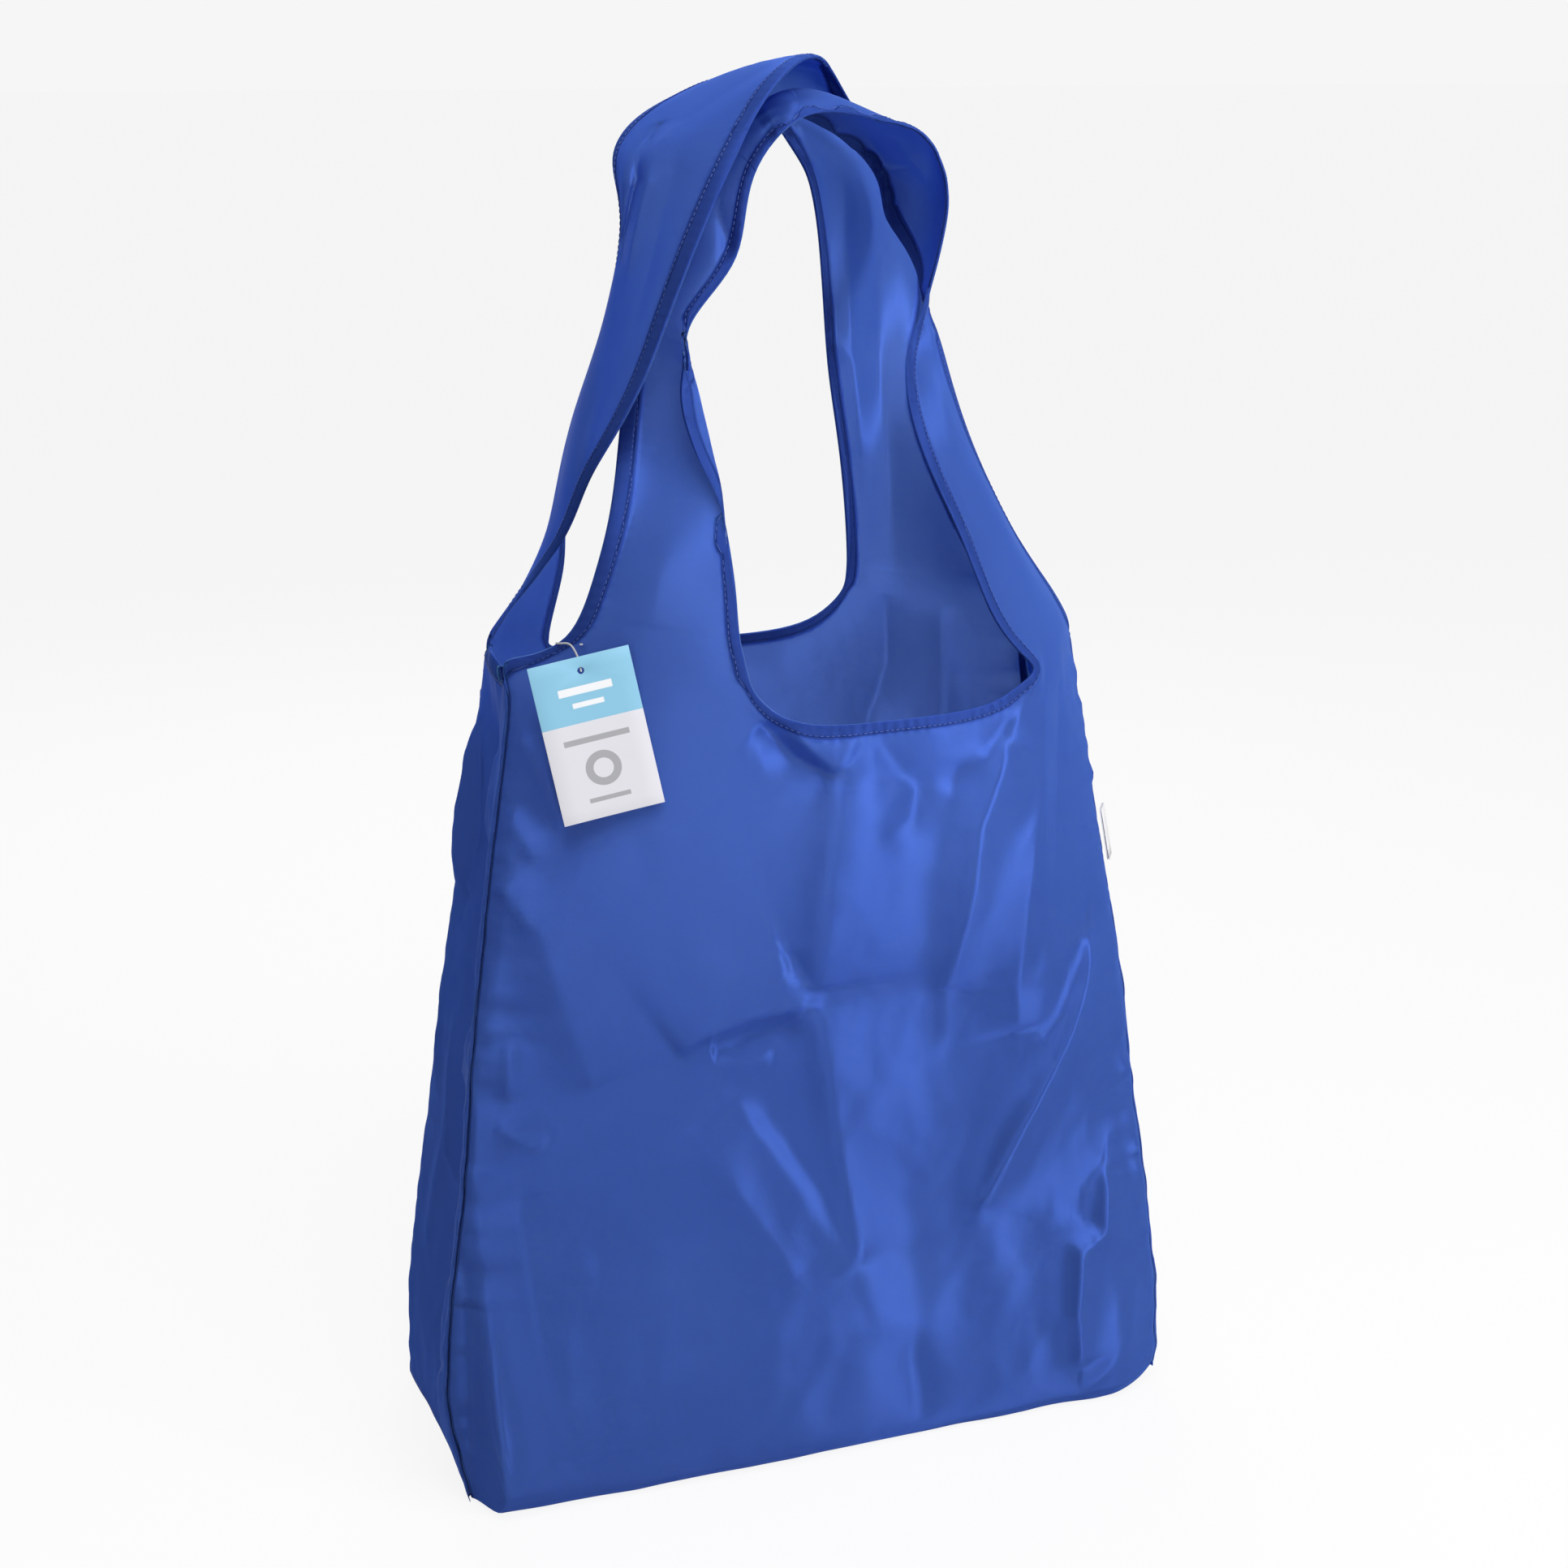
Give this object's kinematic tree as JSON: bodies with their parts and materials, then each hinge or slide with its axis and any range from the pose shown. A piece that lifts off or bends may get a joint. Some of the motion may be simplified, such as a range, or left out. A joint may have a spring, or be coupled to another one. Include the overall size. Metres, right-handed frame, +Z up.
{
  "type": "foldable shopping bag",
  "caption": "Foldable cloth shopping bag with pleated side gussets and looped handles cut in one with the panels, with a card tag hanging from a hem.",
  "frame": {"origin": "on the ground under the middle of the base, at the seam where the panels meet", "axes": "+Z up, +X towards the right gusset seen from the front, -Y out of the front panel that carries the tag"},
  "size_m": [0.4038, 0.2065, 0.6956],
  "materials": {
    "cloth": "fine plain weave with a soft satin sheen",
    "card": "smooth coated card",
    "loop": "thin clear plastic thread",
    "ribbon": "woven ribbon"
  },
  "bodies": {
    "root": {"front_panel": "cloth", "back_panel": "cloth", "left_gusset": "cloth", "right_gusset": "cloth", "hang_tag": "card", "tag_loop": "loop", "side_label": "ribbon"}
  },
  "joints": []
}
